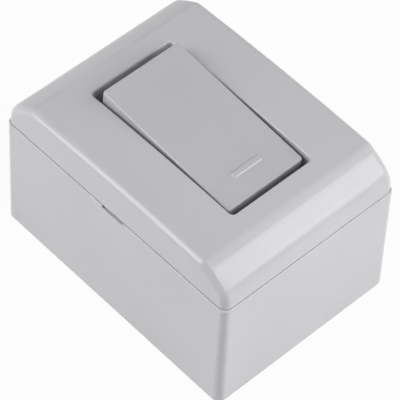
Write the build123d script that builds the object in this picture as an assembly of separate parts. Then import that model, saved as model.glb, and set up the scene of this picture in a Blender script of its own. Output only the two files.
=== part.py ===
from build123d import *
import os
from math import atan, cos, degrees, radians, sin, sqrt, tan

# Surface mounted rocker light switch: a deep box for the wall, a clip-on cover, and a
# single-pole rocker mechanism on a steel yoke. Millimetres, back on z = 0, +Z out of the wall,
# +Y up the wall, origin at the middle of the back.

# Box, measured at its rim, which is the seam line
RIM_LENGTH = 75.0
RIM_WIDTH = 54.0
RIM_HEIGHT = 34.6
BASE_FLARE = 0.3  # each wall leans out by this much at the back
BASE_CORNER = 1.8
BASE_WALL = 2.0
BASE_INNER_CORNER = 0.9
BACK_WALL = 2.5
RIM_EASE = 0.3

# Cover: a side profile drawn along the length, extruded across, its outline edges rounded
COVER_INSET = 0.3
COVER_RISE = 10.9
COVER_WALL = 2.0
ARCH_RADIUS = 650.0
BEVEL_RUN = 8.1
BEVEL_ANGLE = 35.0  # of the chord of the bevel's slight crown
BEVEL_CROWN_RADIUS = 45.0
BEND_ROUND = 2.4
SHOULDER_ROUND = 6.4
EDGE_ROUND = 2.0
SEAM_GROOVE_HEIGHT = 0.25
SEAM_GROOVE_DEPTH = 0.6
TONGUE_DEPTH = 3.2
TONGUE_WALL = 1.3
TONGUE_CLEARANCE = 0.2
TONGUE_HEEL = 1.2  # how far the tongue runs up inside the cover
HOOK_LENGTH = 8.0
HOOK_REACH = 0.7
HOOK_HEIGHT = 1.3
HOOK_PLACE = 20.0
HOOK_DROP = 1.6  # from the rim down to the hook's catching face
POCKET_CLEARANCE = 0.15
PRY_LENGTH = 7.2
PRY_HEIGHT = 0.6
PRY_DEPTH = 1.2
RIB_THICKNESS = 1.2
RIB_DROP = 4.0

# Opening in the cover and the rocker that fills it
END_LAND = 5.2  # from the bend of the cover to the opening
ROCKER_WIDTH = 23.5
ROCKER_DEPTH = 6.0
ROCKER_TOP = 1.8
ROCKER_WALL = 1.5
ROCKER_CORNER = 0.8
ROCKER_INNER_CORNER = 0.65
ROCKER_EDGE = 0.4
ROCKER_TILT = 5.15
ROCKER_PROUD = 0.5  # level rocker's face above the cover's crest
PIVOT_DEPTH = 6.4  # from the rocker's face down to its pivot
SIDE_GAP = 0.7
END_GAP = 2.5
OPENING_CORNER = 1.2
LIP_ROUND = 0.4
COLLAR_WALL = 1.4
COLLAR_DEPTH = 7.1
DASH_LENGTH = 9.0
DASH_WIDTH = 1.9
DASH_HEIGHT = 0.35
DASH_PLACE = 14.9  # from the rocker's middle
DASH_CORNER = 0.7
DASH_EDGE = 0.4

# Carrier under the rocker cap, with its trunnions and the spring stem
CARRIER_SIDE_CLEARANCE = 0.65
CARRIER_END_CLEARANCE = 3.4
CARRIER_THICKNESS = 1.4
CHEEK_THICKNESS = 1.6
CHEEK_RADIUS = 2.4
TRUNNION_RADIUS = 1.5
TRUNNION_LENGTH = 2.5
TRUNNION_CLEARANCE = 0.08
STEM_RADIUS = 2.7
STEM_LENGTH = 12.7  # from the cap's ceiling down to the stem's mouth
PEG_WIDTH = 5.6
PEG_THICKNESS = 1.4
PEG_INSET = 4.5  # from the carrier's end
PEG_BARB = 0.5
PEG_CLEARANCE = 0.15

# Plunger and its spring, in the stem's bore
PLUNGER_RADIUS = 1.75
PLUNGER_CLEARANCE = 0.1
PLUNGER_SEATED = 3.0
PLUNGER_LENGTH = 7.5
PLUNGER_NUB = 0.9
PLUNGER_NUB_LENGTH = 1.6
SPRING_LENGTH = 6.5
SPRING_TURNS = 6
SPRING_WIRE = 0.22
SPRING_CLEARANCE = 0.12
SPRING_END_GAP = 0.03

# Pivot frame, switch body and yoke, stacked on the posts of the box
YOKE_THICKNESS = 1.0
YOKE_WIDTH = 34.0
YOKE_END_CLEARANCE = 1.5  # to the end walls of the box
YOKE_HOLE_INSET = 4.0
YOKE_CORNER = 4.0
YOKE_BELOW_RIM = 0.6
FLANGE_THICKNESS = 1.2
FLANGE_MARGIN = 1.8
FRAME_THICKNESS = 1.6
EAR_THICKNESS = 2.2
EAR_GAP = 0.4
EAR_CAP_CLEARANCE = 1.15
EAR_RADIUS = 2.4
STEM_SLOT_LENGTH = 8.0
STEM_SLOT_CLEARANCE = 0.5
STOP_GAP = 0.3
STOP_INSET = 0.6  # from the rocker's end
STOP_LENGTH = 16.0
STOP_WIDTH = 1.2
LEG_LENGTH = 8.0
LEG_THICKNESS = 1.2
LEG_BARB = 0.7
LEG_CLEARANCE = 0.1
POST_RADIUS = 3.4
SCREW_RADIUS = 1.45
SCREW_CLEARANCE = 0.05
SCREW_HEAD_RADIUS = 2.8
SCREW_HEAD_HEIGHT = 1.8
SCREW_HEAD_ROUND = 0.9
SCREW_LENGTH = 8.4  # below the yoke
SCREW_POINT = 0.7
SCREW_HOLE_SPARE = 3.6
SCREW_SLOT_WIDTH = 0.8
SCREW_SLOT_DEPTH = 0.9
YOKE_HOLE_CLEARANCE = 0.3
GUSSET_THICKNESS = 1.2
GUSSET_REACH = 4.0
GUSSET_HEIGHT = 14.0
GUSSET_TOE = 1.0

# Switch body and its terminals
BODY_WIDTH = 22.4
BODY_WALL = 1.4
BODY_FLOOR = 1.4
WINDOW_CLEARANCE = 0.4
STRIP_THICKNESS = 1.0
STRIP_WIDTH = 7.0
STRIP_END_CLEARANCE = 0.2
LINE_STRIP_END = 2.8
LOAD_STRIP_MARGIN = 0.5
PEDESTAL_MARGIN = 1.5  # from the pedestal to the hole for a screw head
TERMINAL_INSET = 3.4  # from the body's inner wall to the screw's axis
TERMINAL_SCREW_RADIUS = 1.45
TERMINAL_HEAD_RADIUS = 2.9
TERMINAL_HEAD_HEIGHT = 2.0
TERMINAL_HEAD_EASE = 0.3
THREAD_COLLAR_RADIUS = 2.4
THREAD_COLLAR_HEIGHT = 1.6
SCREW_TIP = 0.8
SCREW_TIP_POINT = 0.5
CLAMP_WIDTH = 6.4
CLAMP_LENGTH = 6.0
CLAMP_THICKNESS = 1.2
CLAMP_LIP = 0.5
WIRE_SPACE = 2.2
ACCESS_CLEARANCE = 0.3

# Contact blade, rocking in notches of the line terminal's ears
BLADE_THICKNESS = 0.8
BLADE_WIDTH = 6.0
BLADE_CORNER = 1.5
BLADE_SHORT_ARM = 6.5
BLADE_TIP_MARGIN = 2.0
BLADE_SWING = 7.0  # either side of level
BLADE_PLUNGER_GAP = 0.1  # between plunger and level blade, which is flush with its axle's top
AXLE_RADIUS = 0.8
AXLE_CLEARANCE = 0.08
AXLE_OVERHANG = 0.3
AXLE_ROOT = 0.8
NOTCH_EAR_THICKNESS = 1.0
NOTCH_EAR_LENGTH = 4.8
NOTCH_EAR_GAP = 0.5
NOTCH_EAR_RISE = 0.6
NOTCH_FOOT_ROOT = 1.75  # how far the foot of an ear laps over the strip
TIP_RADIUS = 1.6
TIP_THICKNESS = 0.9
TIP_EASE = 0.3
RIVET_RADIUS = 0.8
RIVET_CLEARANCE = 0.04
CONTACT_GAP = 0.05
FIXED_TIP_RADIUS = 1.9
FIXED_TIP_THICKNESS = 0.8
COLLAR_CLEARANCE = 0.5  # between the fixed contact and the thread collar

# Back of the box: fixing slots, cable entry, knock-outs
FIXING_POST_MARGIN = 1.6  # from a slot to the post beside it
FIXING_WIDTH = 4.4
FIXING_LENGTH = 8.0
CABLE_ENTRY_RADIUS = 9.5
KNOCKOUT_RADIUS = 8.0
KNOCKOUT_WEB = 0.8
KNOCKOUT_HEIGHT = 14.0

# How far a cut runs past the face it opens, and the slack in finding an edge by its place
CUT_MARGIN = 1.0
EDGE_SLACK = 0.01

# Heights and places that follow from the sizes above
COVER_LENGTH = RIM_LENGTH - 2 * COVER_INSET
COVER_WIDTH = RIM_WIDTH - 2 * COVER_INSET
COVER_TOP = RIM_HEIGHT + COVER_RISE
INNER_LENGTH = RIM_LENGTH - 2 * BASE_WALL
INNER_WIDTH = RIM_WIDTH - 2 * BASE_WALL
ROCKER_FACE = COVER_TOP + ROCKER_PROUD
PIVOT_HEIGHT = ROCKER_FACE - PIVOT_DEPTH
CAP_CEILING = ROCKER_FACE - ROCKER_TOP
OPENING_WIDTH = ROCKER_WIDTH + 2 * SIDE_GAP
OPENING_LENGTH = COVER_LENGTH - 2 * (BEVEL_RUN + END_LAND)
ROCKER_LENGTH = OPENING_LENGTH - 2 * END_GAP
CARRIER_WIDTH = ROCKER_WIDTH - 2 * (ROCKER_WALL + CARRIER_SIDE_CLEARANCE)
CARRIER_LENGTH = ROCKER_LENGTH - 2 * (ROCKER_WALL + CARRIER_END_CLEARANCE)
PEG_PLACE = CARRIER_LENGTH / 2 - PEG_INSET
EAR_OUTER = ROCKER_WIDTH / 2 - ROCKER_WALL - EAR_CAP_CLEARANCE
CHEEK_INNER = EAR_OUTER - EAR_THICKNESS - EAR_GAP - CHEEK_THICKNESS
YOKE_LENGTH = INNER_LENGTH - 2 * YOKE_END_CLEARANCE
POST_PLACE = YOKE_LENGTH / 2 - YOKE_HOLE_INSET
FIXING_SPACING = 2 * (POST_PLACE - POST_RADIUS - FIXING_POST_MARGIN) - FIXING_LENGTH
YOKE_TOP = RIM_HEIGHT - YOKE_BELOW_RIM
YOKE_BOTTOM = YOKE_TOP - YOKE_THICKNESS
SCREW_END = YOKE_BOTTOM - SCREW_LENGTH
FLANGE_TOP = YOKE_TOP + FLANGE_THICKNESS
FRAME_TOP = FLANGE_TOP + FRAME_THICKNESS
FLANGE_WIDTH = BODY_WIDTH + 2 * FLANGE_MARGIN
FRAME_LENGTH = ROCKER_LENGTH - 2 * STOP_INSET
FLANGE_LENGTH = FRAME_LENGTH
BODY_LENGTH = FLANGE_LENGTH - 2 * FLANGE_MARGIN
STEM_MOUTH = CAP_CEILING - STEM_LENGTH
BORE_RADIUS = PLUNGER_RADIUS + PLUNGER_CLEARANCE
PLUNGER_TOP = STEM_MOUTH + PLUNGER_SEATED
PLUNGER_TIP = PLUNGER_TOP - PLUNGER_LENGTH
BORE_TOP = PLUNGER_TOP + SPRING_LENGTH
BLADE_AXIS = PLUNGER_TIP - BLADE_PLUNGER_GAP - AXLE_RADIUS
BLADE_TOP = BLADE_AXIS + AXLE_RADIUS
TERMINAL_PLACE = BODY_LENGTH / 2 - BODY_WALL - TERMINAL_INSET
PEDESTAL_LENGTH = 2 * (TERMINAL_PLACE - TERMINAL_HEAD_RADIUS - ACCESS_CLEARANCE - PEDESTAL_MARGIN)
TIP_PLACE = TERMINAL_PLACE - THREAD_COLLAR_RADIUS - COLLAR_CLEARANCE - FIXED_TIP_RADIUS
BLADE_LONG_ARM = TIP_PLACE + BLADE_TIP_MARGIN
CONTACT_DROP = (BLADE_THICKNESS + TIP_THICKNESS - AXLE_RADIUS) * cos(radians(BLADE_SWING)) + (
    TIP_PLACE + TIP_RADIUS) * sin(radians(BLADE_SWING))
STRIP_TOP = BLADE_AXIS - CONTACT_DROP - CONTACT_GAP - FIXED_TIP_THICKNESS
STRIP_BOTTOM = STRIP_TOP - STRIP_THICKNESS
CLAMP_TOP = STRIP_BOTTOM - WIRE_SPACE
HEAD_TOP = CLAMP_TOP - CLAMP_THICKNESS
HEAD_BOTTOM = HEAD_TOP - TERMINAL_HEAD_HEIGHT
FLOOR_TOP = HEAD_BOTTOM - ACCESS_CLEARANCE
BODY_BOTTOM = FLOOR_TOP - BODY_FLOOR
LOAD_STRIP_START = TIP_PLACE - FIXED_TIP_RADIUS - LOAD_STRIP_MARGIN
STRIP_END = BODY_LENGTH / 2 - BODY_WALL - STRIP_END_CLEARANCE


def slab(width, length, low, high, corner=0.0, x=0.0, y=0.0):
    """A flat-topped block between two heights, its upright edges rounded if asked."""
    outline = RectangleRounded(width, length, corner) if corner else Rectangle(width, length)
    return extrude(Pos(x, y, low) * outline, amount=high - low)


def post(radius, low, high, x=0.0, y=0.0):
    """An upright cylinder between two heights."""
    return extrude(Pos(x, y, low) * Circle(radius), amount=high - low)


def cross_pin(radius, start, end, y=0.0, z=0.0):
    """A cylinder along X between two places."""
    return extrude(Plane.YZ.offset(start) * Pos(y, z) * Circle(radius), amount=end - start)


def cross_plate(outline, start, thickness):
    """A flat outline in Y and Z, given a thickness along X."""
    return extrude(Plane.YZ.offset(start) * outline, amount=thickness)


def along_length(outline, length, y=0.0):
    """A flat outline in X and Z, extruded along Y about a place."""
    plane = Plane((0, y + length / 2, 0), x_dir=(1, 0, 0), z_dir=(0, -1, 0))
    return extrude(plane * outline, amount=length)


def turned(solid, angle, height):
    """A solid turned about the X axis at a height."""
    return Pos(0, 0, height) * Rot(angle, 0, 0) * Pos(0, 0, -height) * solid


def base_box():
    """The box that is screwed to the wall: tapered walls, posts, pockets and entries."""
    lean = degrees(atan(BASE_FLARE / RIM_HEIGHT))
    foot = RectangleRounded(
        RIM_WIDTH + 2 * BASE_FLARE, RIM_LENGTH + 2 * BASE_FLARE, BASE_CORNER + BASE_FLARE)
    box = extrude(foot, amount=RIM_HEIGHT, taper=lean)
    rim = box.faces().sort_by(Axis.Z)[-1]
    box = fillet(rim.edges(), RIM_EASE)
    box -= slab(INNER_WIDTH, INNER_LENGTH, BACK_WALL, RIM_HEIGHT, BASE_INNER_CORNER)
    for side in (-1, 1):
        box += base_post(side)
    for side in (-1, 1):
        box -= post(SCREW_RADIUS + SCREW_CLEARANCE, SCREW_END - SCREW_HOLE_SPARE, YOKE_BOTTOM,
                    y=side * POST_PLACE)
        box -= fixing_slot(side)
        box -= knockout(side)
        for place in (-HOOK_PLACE, HOOK_PLACE):
            box -= hook_pocket(side, place)
    box -= post(CABLE_ENTRY_RADIUS, 0, BACK_WALL)
    box -= pry_slot()
    return box


def base_post(side):
    """A screw post for the yoke, with two gussets at its foot."""
    column = post(POST_RADIUS, 0, YOKE_BOTTOM, y=side * POST_PLACE)
    reach = POST_RADIUS + GUSSET_REACH
    gusset = make_face(Polyline(
        (-reach, 0), (reach, 0), (reach, BACK_WALL + GUSSET_TOE), (0, BACK_WALL + GUSSET_HEIGHT),
        (-reach, BACK_WALL + GUSSET_TOE), close=True))
    return column + along_length(gusset, GUSSET_THICKNESS, side * POST_PLACE)


def fixing_slot(side):
    """A slot for a wall screw, long up and down the wall."""
    outline = Rot(0, 0, 90) * SlotOverall(FIXING_LENGTH, FIXING_WIDTH)
    return extrude(Pos(0, side * FIXING_SPACING / 2) * outline, amount=BACK_WALL)


def knockout(side):
    """Thinned discs inside one end wall and one side wall, to be broken out for a conduit."""
    reach = BASE_WALL - KNOCKOUT_WEB
    disc = Circle(KNOCKOUT_RADIUS)
    end = Plane((0, side * (INNER_LENGTH / 2), KNOCKOUT_HEIGHT), z_dir=(0, side, 0)) * disc
    flank = Plane((side * (INNER_WIDTH / 2), 0, KNOCKOUT_HEIGHT), z_dir=(side, 0, 0)) * disc
    return extrude(end, amount=reach) + extrude(flank, amount=reach)


def hook_pocket(side, place):
    """The recess in a long wall that a cover hook snaps into."""
    high = RIM_HEIGHT - HOOK_DROP + POCKET_CLEARANCE
    depth = HOOK_REACH - TONGUE_CLEARANCE + POCKET_CLEARANCE
    return slab(2 * depth, HOOK_LENGTH + 2 * POCKET_CLEARANCE,
                high - HOOK_HEIGHT - 2 * POCKET_CLEARANCE, high, x=side * INNER_WIDTH / 2, y=place)


def pry_slot():
    """The shallow notch in the rim where a blade lifts the cover off."""
    return slab(2 * PRY_DEPTH, PRY_LENGTH, RIM_HEIGHT - PRY_HEIGHT, RIM_HEIGHT, x=-RIM_WIDTH / 2)


def cover_outline(low, inset=0.0):
    """The cover's side profile, moved in for its inner face: arched top, slightly crowned
    bevels, rounded shoulders."""
    half = COVER_LENGTH / 2 - inset
    run = BEVEL_RUN - inset * (1 - tan(radians(BEVEL_ANGLE / 2)))
    start = half - run
    top = COVER_TOP - inset
    radius = ARCH_RADIUS - inset
    arch_end = top - radius + sqrt(radius ** 2 - start ** 2)
    shoulder = arch_end - run * tan(radians(BEVEL_ANGLE))
    crown = BEVEL_CROWN_RADIUS - inset
    sides = Polyline((half, shoulder), (half, low), (-half, low), (-half, shoulder))
    arch = ThreePointArc((-start, arch_end), (0, top), (start, arch_end))
    bevels = RadiusArc((start, arch_end), (half, shoulder), crown) + RadiusArc(
        (-half, shoulder), (-start, arch_end), crown)
    outline = make_face(sides + arch + bevels)
    corners = [v for v in outline.vertices() if abs(v.Y - shoulder) < EDGE_SLACK]
    outline = fillet(corners, SHOULDER_ROUND - inset)
    bends = [v for v in outline.vertices() if abs(v.Y - arch_end) < EDGE_SLACK]
    return fillet(bends, BEND_ROUND - inset)


def front_cover():
    """The clip-on cover, hollow, with a collar round the rocker, a tongue and four hooks."""
    outer = extrude(Plane.YZ * cover_outline(RIM_HEIGHT), amount=COVER_WIDTH / 2, both=True)
    ends = outer.faces().filter_by(Axis.X).edges()
    outer = fillet([e for e in ends if e.center().Z > RIM_HEIGHT + EDGE_SLACK], EDGE_ROUND)
    inner = extrude(Plane.YZ * cover_outline(RIM_HEIGHT - TONGUE_DEPTH, COVER_WALL),
                    amount=COVER_WIDTH / 2 - COVER_WALL, both=True)
    cover = outer - inner
    cover += outer & cover_collar_and_ribs()
    cover += cover_tongue()
    cover -= seam_groove()
    cover -= slab(OPENING_WIDTH, OPENING_LENGTH, COVER_TOP - COLLAR_DEPTH - CUT_MARGIN,
                  COVER_TOP + CUT_MARGIN, OPENING_CORNER)
    lip = [e for e in cover.edges() if abs(e.center().X) < OPENING_WIDTH / 2 + EDGE_SLACK
           and abs(e.center().Y) < OPENING_LENGTH / 2 + EDGE_SLACK
           and e.center().Z > COVER_TOP - COVER_WALL / 2]
    return fillet(lip, LIP_ROUND)


def cover_collar_and_ribs():
    """The wall round the opening and the four ribs that tie it to the long sides."""
    low = COVER_TOP - COLLAR_DEPTH
    collar = slab(OPENING_WIDTH + 2 * COLLAR_WALL, OPENING_LENGTH + 2 * COLLAR_WALL, low,
                  COVER_TOP, OPENING_CORNER + COLLAR_WALL)
    for place in (-OPENING_LENGTH / 4, OPENING_LENGTH / 4):
        collar += slab(COVER_WIDTH - COVER_WALL, RIB_THICKNESS, COVER_TOP - COVER_WALL - RIB_DROP,
                       COVER_TOP, y=place)
    return collar


def cover_tongue():
    """The locating tongue inside the rim, with its four hooks."""
    width = INNER_WIDTH - 2 * TONGUE_CLEARANCE
    length = INNER_LENGTH - 2 * TONGUE_CLEARANCE
    low = RIM_HEIGHT - TONGUE_DEPTH
    high = RIM_HEIGHT + TONGUE_HEEL
    tongue = slab(width, length, low, high, BASE_INNER_CORNER)
    tongue -= slab(width - 2 * TONGUE_WALL, length - 2 * TONGUE_WALL, low, high)
    top = RIM_HEIGHT - HOOK_DROP
    root = width / 2 - TONGUE_WALL / 2
    for side in (-1, 1):
        wedge = make_face(Polyline(
            (side * root, top), (side * (width / 2 + HOOK_REACH - TONGUE_CLEARANCE), top),
            (side * width / 2, top - HOOK_HEIGHT), (side * root, top - HOOK_HEIGHT), close=True))
        for place in (-HOOK_PLACE, HOOK_PLACE):
            tongue += along_length(wedge, HOOK_LENGTH, place)
    return tongue


def seam_groove():
    """The fine shadow line round the cover's lower edge."""
    high = RIM_HEIGHT + SEAM_GROOVE_HEIGHT
    ring = slab(RIM_WIDTH, RIM_LENGTH, RIM_HEIGHT, high)
    return ring - slab(COVER_WIDTH - 2 * SEAM_GROOVE_DEPTH, COVER_LENGTH - 2 * SEAM_GROOVE_DEPTH,
                       RIM_HEIGHT, high, EDGE_ROUND - SEAM_GROOVE_DEPTH)


def rocker_cap():
    """The visible rocker: a hollow cap with rounded edges, a raised dash and two snap pegs."""
    low = ROCKER_FACE - ROCKER_DEPTH
    cap = slab(ROCKER_WIDTH, ROCKER_LENGTH, low, ROCKER_FACE, ROCKER_CORNER)
    cap = fillet(cap.faces().sort_by(Axis.Z)[-1].edges(), ROCKER_EDGE)
    cap -= slab(ROCKER_WIDTH - 2 * ROCKER_WALL, ROCKER_LENGTH - 2 * ROCKER_WALL, low, CAP_CEILING,
                ROCKER_INNER_CORNER)
    dash = slab(DASH_LENGTH, DASH_WIDTH, ROCKER_FACE - ROCKER_TOP / 2, ROCKER_FACE + DASH_HEIGHT,
                y=-DASH_PLACE)
    dash = fillet(dash.edges().filter_by(Axis.Z), DASH_CORNER)
    cap += chamfer(dash.faces().sort_by(Axis.Z)[-1].edges(), DASH_EDGE)
    for side in (-1, 1):
        cap += snap_peg(side)
    return turned(cap, ROCKER_TILT, PIVOT_HEIGHT)


def snap_peg(side):
    """A barbed peg under the cap that holds it to the carrier."""
    catch = CAP_CEILING - CARRIER_THICKNESS - PEG_CLEARANCE
    half = PEG_THICKNESS / 2
    outline = make_face(Polyline(
        (-half, CAP_CEILING + ROCKER_TOP / 2), (half, CAP_CEILING + ROCKER_TOP / 2), (half, catch),
        (half + PEG_BARB, catch), (half, catch - 2 * PEG_BARB), (-half, catch - 2 * PEG_BARB),
        close=True))
    peg = cross_plate(Pos(side * PEG_PLACE, 0) * outline, -PEG_WIDTH / 2, PEG_WIDTH)
    return peg


def rocker_carrier():
    """The moulding that the cap snaps to: plate, trunnion cheeks and hollow spring stem."""
    low = CAP_CEILING - CARRIER_THICKNESS
    carrier = slab(CARRIER_WIDTH, CARRIER_LENGTH, low, CAP_CEILING, ROCKER_CORNER)
    for side in (-1, 1):
        carrier += cheek(side, low)
        carrier -= slab(PEG_WIDTH + 2 * PEG_CLEARANCE,
                        PEG_THICKNESS + PEG_BARB + 2 * PEG_CLEARANCE, low, CAP_CEILING,
                        y=side * PEG_PLACE + PEG_BARB / 2)
    carrier += post(STEM_RADIUS, STEM_MOUTH, CAP_CEILING)
    carrier -= post(BORE_RADIUS, STEM_MOUTH, BORE_TOP)
    return turned(carrier, ROCKER_TILT, PIVOT_HEIGHT)


def cheek(side, low):
    """A cheek below the carrier's plate, with its trunnion pointing outwards."""
    outline = Pos(0, PIVOT_HEIGHT) * Circle(CHEEK_RADIUS)
    rise = low + CARRIER_THICKNESS / 2 - PIVOT_HEIGHT
    outline += Pos(0, PIVOT_HEIGHT + rise / 2) * Rectangle(2 * CHEEK_RADIUS, rise)
    inner = side * CHEEK_INNER
    outer = side * (CHEEK_INNER + CHEEK_THICKNESS)
    plate = cross_plate(outline, min(inner, outer), CHEEK_THICKNESS)
    far = outer + side * TRUNNION_LENGTH
    return plate + cross_pin(TRUNNION_RADIUS, min(outer, far), max(outer, far), z=PIVOT_HEIGHT)


def spring_plunger():
    """The round-nosed pin that the spring pushes on to the contact blade."""
    nose = PLUNGER_RADIUS
    pin = post(PLUNGER_RADIUS, PLUNGER_TIP + nose, PLUNGER_TOP)
    pin += Pos(0, 0, PLUNGER_TIP + nose) * Sphere(nose)
    pin += post(PLUNGER_NUB, PLUNGER_TOP, PLUNGER_TOP + PLUNGER_NUB_LENGTH)
    return turned(pin, ROCKER_TILT, PIVOT_HEIGHT)


def contact_spring():
    """The coil spring between the stem's bore and the plunger."""
    coil_radius = BORE_RADIUS - SPRING_CLEARANCE - SPRING_WIRE
    rise = SPRING_LENGTH - 2 * SPRING_WIRE - 2 * SPRING_END_GAP
    path = Helix(rise / SPRING_TURNS, rise, coil_radius)
    wire = Plane(path @ 0, z_dir=path % 0) * Circle(SPRING_WIRE)
    coil = Pos(0, 0, PLUNGER_TOP + SPRING_WIRE + SPRING_END_GAP) * sweep(wire, path=path)
    return turned(coil, ROCKER_TILT, PIVOT_HEIGHT)


def pivot_frame():
    """The frame over the switch body: pivot ears, stop pads and two legs through the yoke."""
    frame = slab(FLANGE_WIDTH, FRAME_LENGTH, FLANGE_TOP, FRAME_TOP, ROCKER_CORNER)
    for side in (-1, 1):
        frame += pivot_ear(side) + stop_pad(side) + frame_leg(side)
    frame -= slab(2 * (STEM_RADIUS + STEM_SLOT_CLEARANCE), STEM_SLOT_LENGTH, FLANGE_TOP, FRAME_TOP,
                  ROCKER_CORNER)
    bore = TRUNNION_RADIUS + TRUNNION_CLEARANCE
    return frame - cross_pin(bore, -FLANGE_WIDTH / 2, FLANGE_WIDTH / 2, z=PIVOT_HEIGHT)


def pivot_ear(side):
    """An ear beside a cheek, rounded about the pivot."""
    rise = PIVOT_HEIGHT - FRAME_TOP + FRAME_THICKNESS / 2
    outline = Pos(0, PIVOT_HEIGHT) * Circle(EAR_RADIUS)
    outline += Pos(0, PIVOT_HEIGHT - rise / 2) * Rectangle(2 * EAR_RADIUS, rise)
    start = EAR_OUTER - EAR_THICKNESS if side > 0 else -EAR_OUTER
    return cross_plate(outline, start, EAR_THICKNESS)


def stop_pad(side):
    """The low pad that the pressed end of the rocker stops on."""
    skirt = PIVOT_DEPTH - ROCKER_DEPTH
    reach = FRAME_LENGTH / 2
    tilt = radians(ROCKER_TILT)
    top = PIVOT_HEIGHT + skirt * cos(tilt) - reach * sin(tilt) - STOP_GAP
    return slab(STOP_LENGTH, STOP_WIDTH, FRAME_TOP - FRAME_THICKNESS / 2, top,
                y=side * (reach - STOP_WIDTH / 2))


def frame_leg(side):
    """A leg that passes the flange and a slot in the yoke, and hooks under it."""
    inner = FLANGE_WIDTH / 2 + LEG_CLEARANCE
    outer = inner + LEG_THICKNESS
    catch = YOKE_BOTTOM - LEG_CLEARANCE
    points = [(inner - LEG_THICKNESS, FRAME_TOP), (outer, FRAME_TOP), (outer, catch),
              (outer + LEG_BARB, catch), (outer, catch - 2 * LEG_BARB),
              (inner, catch - 2 * LEG_BARB), (inner, FLANGE_TOP),
              (inner - LEG_THICKNESS, FLANGE_TOP)]
    outline = make_face(Polyline([(side * x, z) for x, z in points], close=True))
    return along_length(outline, LEG_LENGTH)


def yoke_plate():
    """The steel plate that carries the mechanism on the two posts."""
    plate = slab(YOKE_WIDTH, YOKE_LENGTH, YOKE_BOTTOM, YOKE_TOP, YOKE_CORNER)
    plate -= slab(BODY_WIDTH + 2 * WINDOW_CLEARANCE, BODY_LENGTH + 2 * WINDOW_CLEARANCE,
                  YOKE_BOTTOM, YOKE_TOP, 2 * WINDOW_CLEARANCE)
    slot_width = LEG_THICKNESS + 3 * LEG_CLEARANCE
    for side in (-1, 1):
        plate -= post(SCREW_RADIUS + YOKE_HOLE_CLEARANCE, YOKE_BOTTOM, YOKE_TOP,
                      y=side * POST_PLACE)
        plate -= slab(slot_width, LEG_LENGTH + 4 * LEG_CLEARANCE, YOKE_BOTTOM, YOKE_TOP,
                      x=side * (FLANGE_WIDTH / 2 + slot_width / 2))
    return plate


def yoke_screw(side):
    """A slotted pan-head screw that holds the yoke on a post."""
    head_top = YOKE_TOP + SCREW_HEAD_HEIGHT
    head = post(SCREW_HEAD_RADIUS, YOKE_TOP, head_top)
    head = fillet(head.faces().sort_by(Axis.Z)[-1].edges(), SCREW_HEAD_ROUND)
    head -= slab(2 * SCREW_HEAD_RADIUS, SCREW_SLOT_WIDTH, head_top - SCREW_SLOT_DEPTH, head_top)
    shank = post(SCREW_RADIUS, SCREW_END, YOKE_TOP)
    shank = chamfer(shank.faces().sort_by(Axis.Z)[0].edges(), SCREW_POINT)
    return Pos(0, side * POST_PLACE) * (head + shank)


def switch_body():
    """The insulating case of the mechanism, with a flange, a pedestal and wire entries."""
    body = slab(BODY_WIDTH, BODY_LENGTH, BODY_BOTTOM, FLANGE_TOP, WINDOW_CLEARANCE)
    body += slab(FLANGE_WIDTH, FLANGE_LENGTH, YOKE_TOP, FLANGE_TOP, ROCKER_CORNER)
    inner_width = BODY_WIDTH - 2 * BODY_WALL
    body -= slab(inner_width, BODY_LENGTH - 2 * BODY_WALL, FLOOR_TOP, FLANGE_TOP)
    body += slab(STRIP_WIDTH + 2 * NOTCH_EAR_THICKNESS, PEDESTAL_LENGTH, BODY_BOTTOM, STRIP_BOTTOM)
    for side in (-1, 1):
        body -= post(TERMINAL_HEAD_RADIUS + ACCESS_CLEARANCE, BODY_BOTTOM, FLOOR_TOP,
                     y=side * TERMINAL_PLACE)
        body -= slab(STRIP_WIDTH, 3 * BODY_WALL, CLAMP_TOP, STRIP_BOTTOM,
                     y=side * BODY_LENGTH / 2)
    return body


def thread_collar(side):
    """The drawn collar round a terminal's thread, standing on the strip."""
    return post(THREAD_COLLAR_RADIUS, STRIP_BOTTOM, STRIP_TOP + THREAD_COLLAR_HEIGHT,
                y=side * TERMINAL_PLACE)


def thread_hole(side):
    """The hole that a terminal screw runs in."""
    return post(TERMINAL_SCREW_RADIUS + SCREW_CLEARANCE, STRIP_BOTTOM,
                STRIP_TOP + THREAD_COLLAR_HEIGHT, y=side * TERMINAL_PLACE)


def line_terminal():
    """The brass strip of the incoming wire, with two notched ears for the blade's axle."""
    length = STRIP_END + LINE_STRIP_END
    middle = (LINE_STRIP_END - STRIP_END) / 2
    strip = slab(STRIP_WIDTH, length, STRIP_BOTTOM, STRIP_TOP, y=middle)
    top = BLADE_AXIS + NOTCH_EAR_RISE
    inner = BLADE_WIDTH / 2 + NOTCH_EAR_GAP
    for side in (-1, 1):
        x = side * (inner + NOTCH_EAR_THICKNESS / 2)
        ear = slab(NOTCH_EAR_THICKNESS, NOTCH_EAR_LENGTH, STRIP_BOTTOM, top, x=x)
        foot_width = inner + NOTCH_EAR_THICKNESS - NOTCH_FOOT_ROOT
        strip += ear + slab(foot_width, NOTCH_EAR_LENGTH, STRIP_BOTTOM, STRIP_TOP,
                            x=side * (NOTCH_FOOT_ROOT + foot_width / 2))
    notch = AXLE_RADIUS + AXLE_CLEARANCE
    strip -= cross_pin(notch, -STRIP_WIDTH, STRIP_WIDTH, z=BLADE_AXIS)
    strip -= slab(2 * STRIP_WIDTH, 2 * notch, BLADE_AXIS, top)
    return strip + thread_collar(-1) - thread_hole(-1)


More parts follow.
